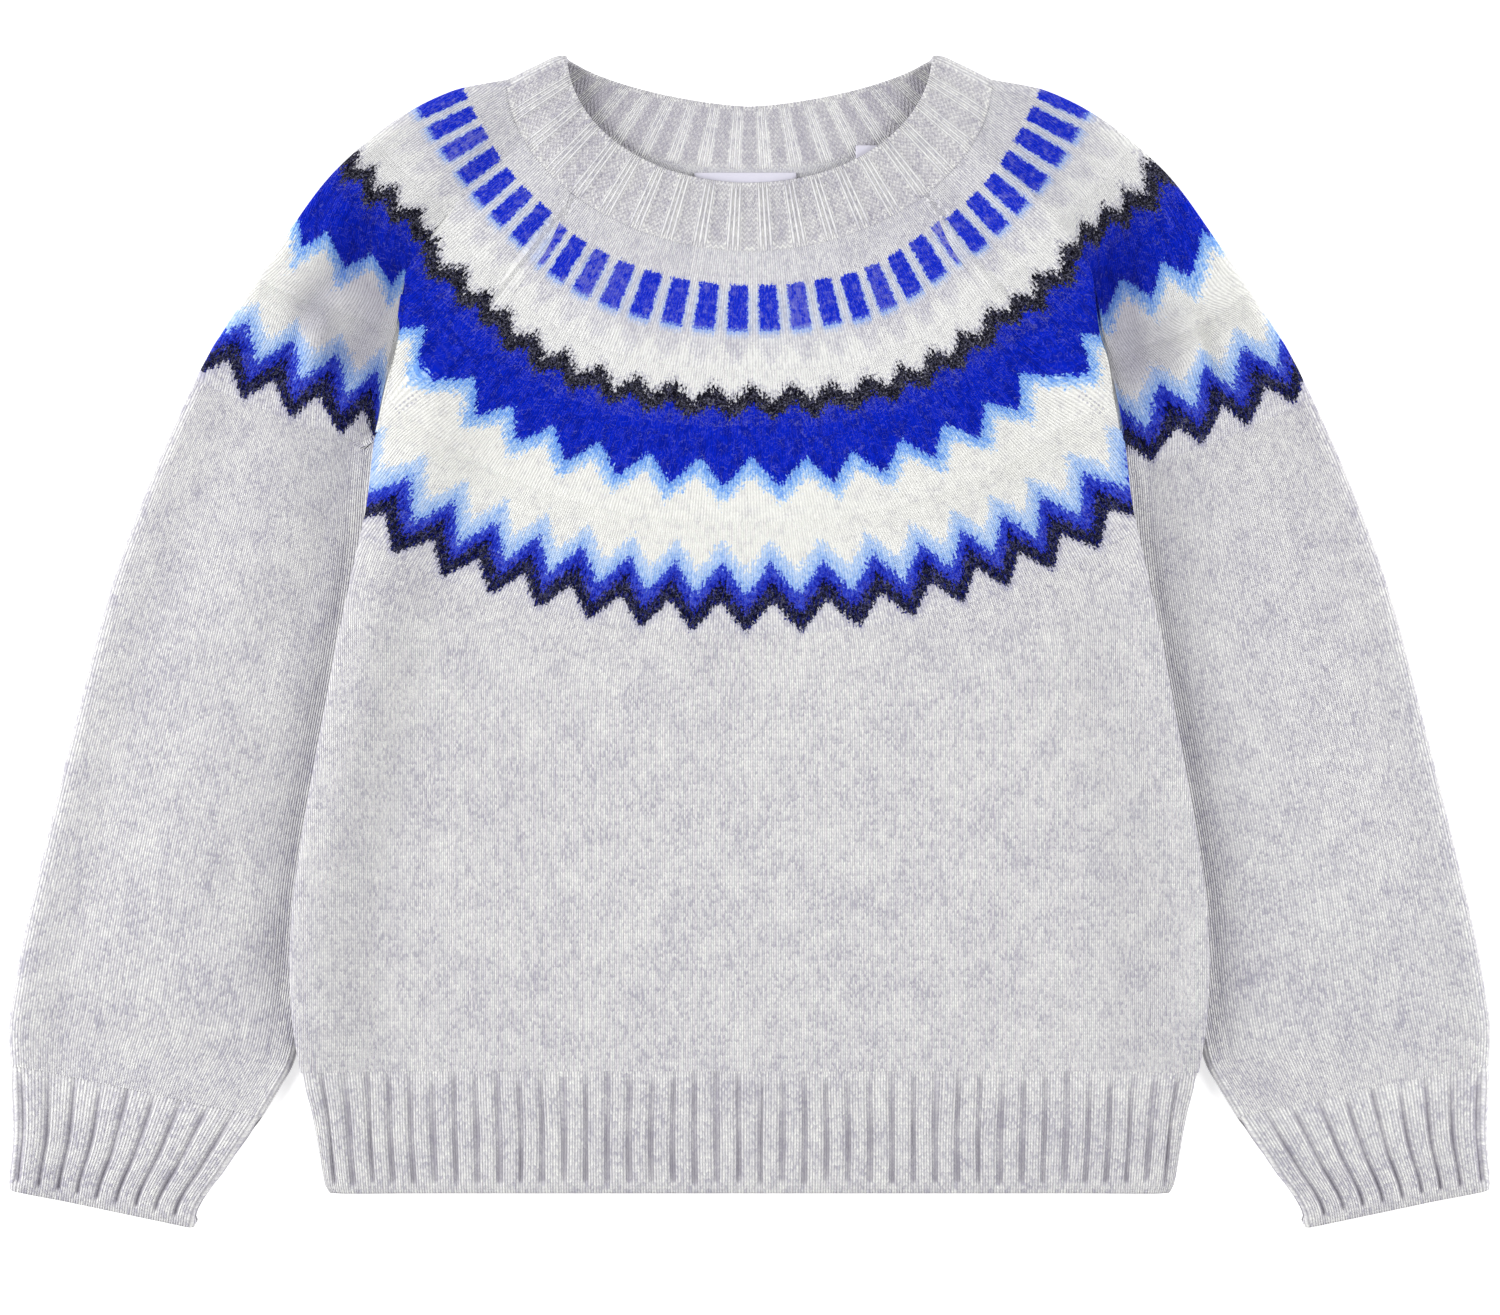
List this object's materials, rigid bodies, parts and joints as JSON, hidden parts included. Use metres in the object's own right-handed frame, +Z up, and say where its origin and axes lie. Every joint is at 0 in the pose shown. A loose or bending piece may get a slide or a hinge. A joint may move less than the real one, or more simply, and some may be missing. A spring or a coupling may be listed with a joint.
{
  "type": "nordic yoke sweater",
  "caption": "Child's raglan pullover laid flat, with ribbed neckband, cuffs and hem and a round patterned yoke of zigzag bands.",
  "frame": {"origin": "middle of the sweater's outline, on the surface it lies on", "axes": "+X across the body towards the wearer's left sleeve, +Y from the hem to the neck, +Z up from the surface, out of the front"},
  "size_m": [0.5908, 0.4676, 0.0135],
  "materials": {
    "yoke_knit": "brushed heather grey wool in plain knit, with a royal blue, light blue, navy and off-white yoke",
    "rib_knit": "brushed heather grey wool in rib",
    "label_cloth": "smooth pale woven label, blank"
  },
  "bodies": {
    "root": {"front": "yoke_knit", "back": "yoke_knit", "sleeve_left": "yoke_knit", "sleeve_right": "yoke_knit", "neckband": "rib_knit", "hem_front": "rib_knit", "hem_back": "rib_knit", "cuff_left": "rib_knit", "cuff_right": "rib_knit", "neck_label": "label_cloth", "size_tag": "label_cloth"}
  },
  "joints": []
}
